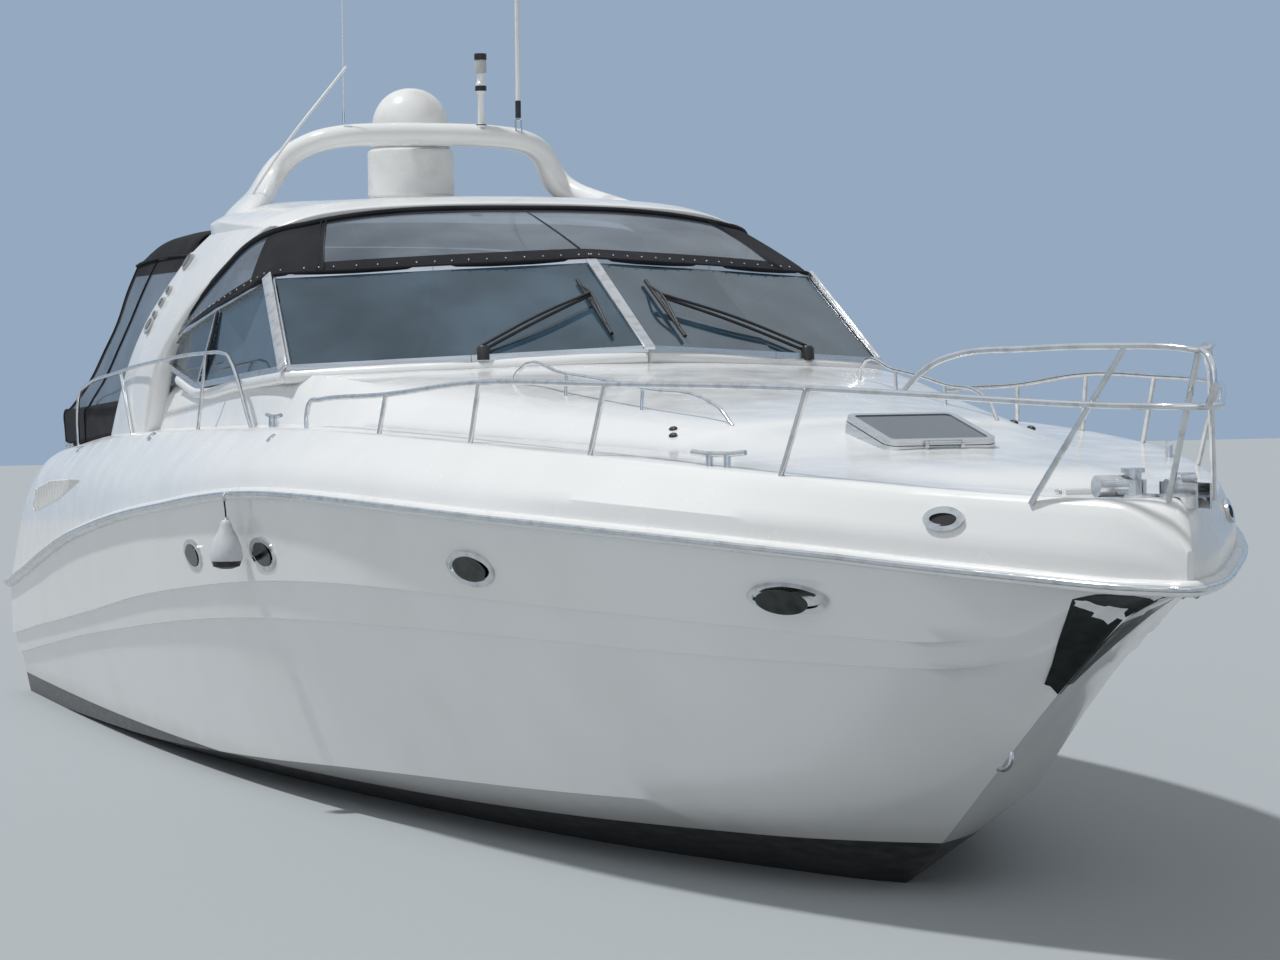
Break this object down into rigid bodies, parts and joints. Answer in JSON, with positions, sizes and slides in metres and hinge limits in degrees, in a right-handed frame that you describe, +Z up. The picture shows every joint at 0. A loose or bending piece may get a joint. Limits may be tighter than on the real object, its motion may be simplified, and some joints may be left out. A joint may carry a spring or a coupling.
{
  "type": "express cruiser motor yacht",
  "caption": "Decked twin-shaft express cruiser afloat, with swept arch, wraparound windshield, canvas enclosure, cockpit and stainless bow rail.",
  "frame": {"origin": "amidships on the centreline, at the waterline the boat floats on", "axes": "+X towards the bow, +Y to port, +Z up"},
  "size_m": [13.2329, 4.186, 6.2181],
  "materials": {
    "gelcoat": "glossy white gelcoat",
    "hull_gelcoat": "glossy white gelcoat, black antifouling below the boot line",
    "clear_glass": "tinted laminated glass",
    "smoked_acrylic": "smoked acrylic",
    "stainless": "polished stainless steel",
    "aluminium_frame": "bright anodised aluminium",
    "canvas": "dark acrylic canvas",
    "clear_vinyl": "clear vinyl with dark canvas edges",
    "nonskid": "moulded non-skid",
    "vinyl": "marine vinyl",
    "engine_paint": "satin engine paint",
    "bronze": "nickel-bronze alloy, dull",
    "black_plastic": "matt black",
    "white_plastic": "glossy white plastic"
  },
  "bodies": {
    "boat": {"aft_canvas": "canvas", "air_intakes": "gelcoat", "anchor_roller": "stainless", "antenna_stbd": "white_plastic", "arch": "gelcoat", "arch_hoop": "gelcoat", "bow_rail": "stainless", "cleats": "stainless", "cockpit_lounge": "vinyl", "cockpit_sole": "nonskid", "deck": "gelcoat", "engine_port": "engine_paint", "engine_stbd": "engine_paint", "foredeck_hatch_frame": "aluminium_frame", "front_canvas": "clear_vinyl", "gate_rail_port": "stainless", "gate_rail_stbd": "stainless", "hawse_rings": "stainless", "helm_console": "gelcoat", "helm_seat": "vinyl", "hull": "hull_gelcoat", "light_mast": "stainless", "portholes_port": "stainless", "portholes_stbd": "stainless", "rub_rail": "stainless", "running_gear_port": "stainless", "running_gear_stbd": "stainless", "satellite_dome": "white_plastic", "side_glass_port": "clear_glass", "side_glass_stbd": "clear_glass", "swim_platform": "nonskid", "trunk_rail_port": "stainless", "trunk_rail_stbd": "stainless", "windlass": "stainless", "windshield_frame": "aluminium_frame", "windshield_port": "clear_glass", "windshield_stbd": "clear_glass", "wipers": "black_plastic"},
    "propeller_stbd": {"propeller_stbd": "bronze"},
    "propeller_port": {"propeller_port": "bronze"},
    "rudder_stbd": {"rudder_stbd": "bronze"},
    "rudder_port": {"rudder_port": "bronze"},
    "steering_wheel": {"steering_wheel": "black_plastic"},
    "foredeck_hatch_lid": {"foredeck_hatch_lid": "smoked_acrylic"},
    "anchor_locker_lid": {"anchor_locker_lid": "gelcoat"},
    "transom_door": {"transom_door": "gelcoat"},
    "engine_hatch": {"engine_hatch": "nonskid"},
    "companionway_door": {"companionway_door": "smoked_acrylic"},
    "antenna_port": {"antenna_port": "white_plastic"}
  },
  "joints": [
    {"name": "steering_wheel_turn", "type": "hinge", "parent": "boat", "child": "steering_wheel", "pos_m": [-0.53491, -0.87, 1.81642], "axis": [-0.766, 0, 0.6428], "range_deg": [-450, 450]},
    {"name": "rudder_stbd_steer", "type": "hinge", "parent": "boat", "child": "rudder_stbd", "pos_m": [-5.56, -0.62, -0.6], "axis": [0, 0, 1], "range_deg": [-35, 35]},
    {"name": "rudder_port_steer", "type": "hinge", "parent": "boat", "child": "rudder_port", "pos_m": [-5.56, 0.62, -0.6], "axis": [0, 0, 1], "range_deg": [-35, 35]},
    {"name": "propeller_stbd_spin", "type": "hinge", "parent": "boat", "child": "propeller_stbd", "pos_m": [-5, -0.62, -0.745], "axis": [-0.9848, 0, -0.1736], "continuous": true},
    {"name": "propeller_port_spin", "type": "hinge", "parent": "boat", "child": "propeller_port", "pos_m": [-5, 0.62, -0.745], "axis": [-0.9848, 0, -0.1736], "continuous": true},
    {"name": "foredeck_hatch_lift", "type": "hinge", "parent": "boat", "child": "foredeck_hatch_lid", "pos_m": [4.45937, 0, 1.86029], "axis": [0, 1, 0], "range_deg": [0, 80]},
    {"name": "anchor_locker_lift", "type": "hinge", "parent": "boat", "child": "anchor_locker_lid", "pos_m": [5.636, 0, 1.706], "axis": [0, -1, 0], "range_deg": [0, 95]},
    {"name": "transom_door_swing", "type": "hinge", "parent": "boat", "child": "transom_door", "pos_m": [-5.203, 1.289, 1.2], "axis": [0, 0, 1], "range_deg": [0, 90]},
    {"name": "engine_hatch_lift", "type": "hinge", "parent": "boat", "child": "engine_hatch", "pos_m": [-3.147, 0, 0.831], "axis": [0, 1, 0], "range_deg": [0, 60]},
    {"name": "companionway_slide", "type": "slide", "parent": "boat", "child": "companionway_door", "axis": [0, -1, 0], "range_m": [0, 0.58]},
    {"name": "antenna_port_fold", "type": "hinge", "parent": "boat", "child": "antenna_port", "pos_m": [-2.69, 0.56, 3.66], "axis": [0, -1, 0], "range_deg": [0, 88]}
  ],
  "couplings": [
    {"joint": "rudder_stbd_steer", "follows": "steering_wheel_turn", "ratio": 0.077778},
    {"joint": "rudder_port_steer", "follows": "steering_wheel_turn", "ratio": 0.077778}
  ]
}
